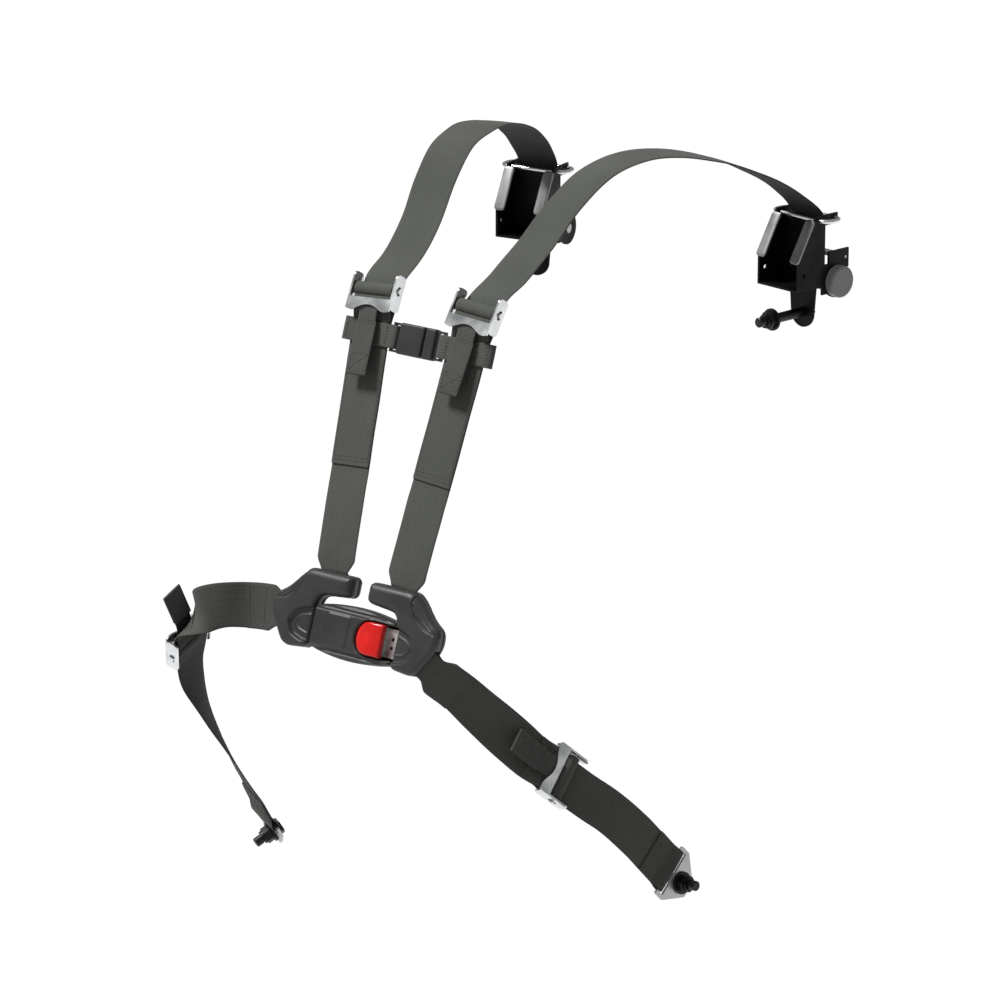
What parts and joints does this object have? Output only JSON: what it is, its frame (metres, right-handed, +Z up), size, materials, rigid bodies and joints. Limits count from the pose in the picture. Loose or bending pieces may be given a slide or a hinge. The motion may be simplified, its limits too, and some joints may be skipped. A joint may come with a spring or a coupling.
{
  "type": "racing harness",
  "caption": "Four-point racing harness with webbing shoulder and lap straps, push-button lap buckle, chest clip, tilt-lock adjusters, rear locking retractors and bolt-on anchors.",
  "frame": {"origin": "middle of the lap buckle, in the plane of its latch plates", "axes": "+X to the wearer's left, +Y from the wearer's chest to the back, +Z up"},
  "size_m": [0.5504, 0.6546, 0.8162],
  "materials": {
    "webbing": "woven polyester webbing, dark olive grey",
    "webbing_tab": "woven polyester webbing, black",
    "black_plastic": "moulded nylon, fine grain",
    "clip_plastic": "moulded acetal",
    "red_button": "moulded red plastic",
    "chrome": "bright chrome plate",
    "plated_steel": "zinc plate",
    "dark_fastener": "black phosphate",
    "black_steel": "black electrocoat",
    "grey_cap": "grey moulded cap",
    "spring_steel": "spring steel"
  },
  "bodies": {
    "left_half": {"buckle_front_shell": "black_plastic", "buckle_rear_shell": "black_plastic", "buckle_screws": "dark_fastener", "buckle_channel": "plated_steel", "button_springs": "spring_steel", "chest_clip_socket": "clip_plastic", "left_latch_plate": "plated_steel", "left_cover_front": "black_plastic", "left_cover_rear": "black_plastic", "left_lower_shoulder_strap": "webbing", "left_upper_shoulder_strap": "webbing", "left_lap_front_strap": "webbing", "left_lap_rear_strap": "webbing", "left_chest_strap": "webbing", "left_lap_anchor_plate": "plated_steel", "left_retractor_frame": "black_steel", "left_guide_ring": "chrome", "left_spring_case": "grey_cap", "left_power_spring": "spring_steel"},
    "release_button": {"release_button": "red_button"},
    "right_half": {"chest_clip_prongs": "clip_plastic", "right_latch_plate": "plated_steel", "right_cover_front": "black_plastic", "right_cover_rear": "black_plastic", "right_lower_shoulder_strap": "webbing", "right_upper_shoulder_strap": "webbing", "right_lap_front_strap": "webbing", "right_lap_rear_strap": "webbing", "right_chest_strap": "webbing", "right_lap_anchor_plate": "plated_steel", "right_retractor_frame": "black_steel", "right_guide_ring": "chrome", "right_spring_case": "grey_cap", "right_power_spring": "spring_steel"},
    "left_shoulder_adjuster": {"left_shoulder_adjuster_frame": "chrome", "left_shoulder_slide_bar": "chrome", "left_shoulder_strap_tail": "webbing_tab"},
    "left_retractor_bolt": {"left_retractor_bolt": "dark_fastener", "left_retractor_nut": "dark_fastener"},
    "left_lap_adjuster": {"left_lap_adjuster_frame": "chrome", "left_lap_slide_bar": "chrome", "left_lap_strap_tail": "webbing_tab"},
    "left_lap_bolt": {"left_lap_bolt": "dark_fastener", "left_lap_nut": "dark_fastener"},
    "left_spool": {"left_spool": "plated_steel", "left_webbing_roll": "webbing"},
    "left_pawl": {"left_lock_pawl": "black_steel"},
    "right_shoulder_adjuster": {"right_shoulder_adjuster_frame": "chrome", "right_shoulder_slide_bar": "chrome", "right_shoulder_strap_tail": "webbing_tab"},
    "right_retractor_bolt": {"right_retractor_bolt": "dark_fastener", "right_retractor_nut": "dark_fastener"},
    "right_lap_adjuster": {"right_lap_adjuster_frame": "chrome", "right_lap_slide_bar": "chrome", "right_lap_strap_tail": "webbing_tab"},
    "right_lap_bolt": {"right_lap_bolt": "dark_fastener", "right_lap_nut": "dark_fastener"},
    "right_spool": {"right_spool": "plated_steel", "right_webbing_roll": "webbing"},
    "right_pawl": {"right_lock_pawl": "black_steel"}
  },
  "joints": [
    {"name": "unbuckle", "type": "slide", "parent": "left_half", "child": "right_half", "axis": [1, 0, 0], "range_m": [0, 0.045]},
    {"name": "button_press", "type": "slide", "parent": "left_half", "child": "release_button", "axis": [0, 0.9397, -0.342], "range_m": [0, 0.0035], "stiffness_N_per_m": 1500, "springref_m": -0.002, "deforming": ["button_springs"]},
    {"name": "left_shoulder_adjuster_tilt", "type": "hinge", "parent": "left_half", "child": "left_shoulder_adjuster", "pos_m": [-0.068, 0.117, 0.328], "axis": [-0.9976, -0.0349, -0.0604], "range_deg": [0, 20]},
    {"name": "left_retractor_bolt_turn", "type": "hinge", "parent": "left_half", "child": "left_retractor_bolt", "pos_m": [-0.17913, 0.50532, 0.271], "axis": [0.1564, -0.9877, 0], "continuous": true},
    {"name": "left_lap_adjuster_tilt", "type": "hinge", "parent": "left_half", "child": "left_lap_adjuster", "pos_m": [-0.219, -0.02, -0.038], "axis": [-0.0233, -0.9183, -0.3952], "range_deg": [0, 20]},
    {"name": "left_lap_bolt_turn", "type": "hinge", "parent": "left_half", "child": "left_lap_bolt", "pos_m": [-0.24591, 0.13802, -0.32415], "axis": [-0.3896, -0.7757, -0.4965], "continuous": true},
    {"name": "left_spool_spin", "type": "hinge", "parent": "left_half", "child": "left_spool", "pos_m": [-0.19044, 0.57673, 0.309], "axis": [0.9877, 0.1564, 0], "continuous": true},
    {"name": "left_pawl_swing", "type": "hinge", "parent": "left_half", "child": "left_pawl", "pos_m": [-0.19263, 0.59056, 0.334], "axis": [0.9877, 0.1564, 0], "range_deg": [0, 15], "stiffness_Nm_per_rad": 0.03, "springref_deg": -17.19},
    {"name": "right_shoulder_adjuster_tilt", "type": "hinge", "parent": "right_half", "child": "right_shoulder_adjuster", "pos_m": [0.068, 0.117, 0.328], "axis": [-0.9976, 0.0349, 0.0604], "range_deg": [0, 20]},
    {"name": "right_retractor_bolt_turn", "type": "hinge", "parent": "right_half", "child": "right_retractor_bolt", "pos_m": [0.17913, 0.50532, 0.271], "axis": [-0.1564, -0.9877, 0], "continuous": true},
    {"name": "right_lap_adjuster_tilt", "type": "hinge", "parent": "right_half", "child": "right_lap_adjuster", "pos_m": [0.191, 0.092, -0.136], "axis": [-0.025, 0.7137, 0.7], "range_deg": [0, 20]},
    {"name": "right_lap_bolt_turn", "type": "hinge", "parent": "right_half", "child": "right_lap_bolt", "pos_m": [0.2568, 0.24523, -0.29738], "axis": [0.9849, -0.1387, 0.104], "continuous": true},
    {"name": "right_spool_spin", "type": "hinge", "parent": "right_half", "child": "right_spool", "pos_m": [0.19044, 0.57673, 0.309], "axis": [0.9877, -0.1564, 0], "continuous": true},
    {"name": "right_pawl_swing", "type": "hinge", "parent": "right_half", "child": "right_pawl", "pos_m": [0.19263, 0.59056, 0.334], "axis": [0.9877, -0.1564, 0], "range_deg": [0, 15], "stiffness_Nm_per_rad": 0.03, "springref_deg": -17.19}
  ]
}
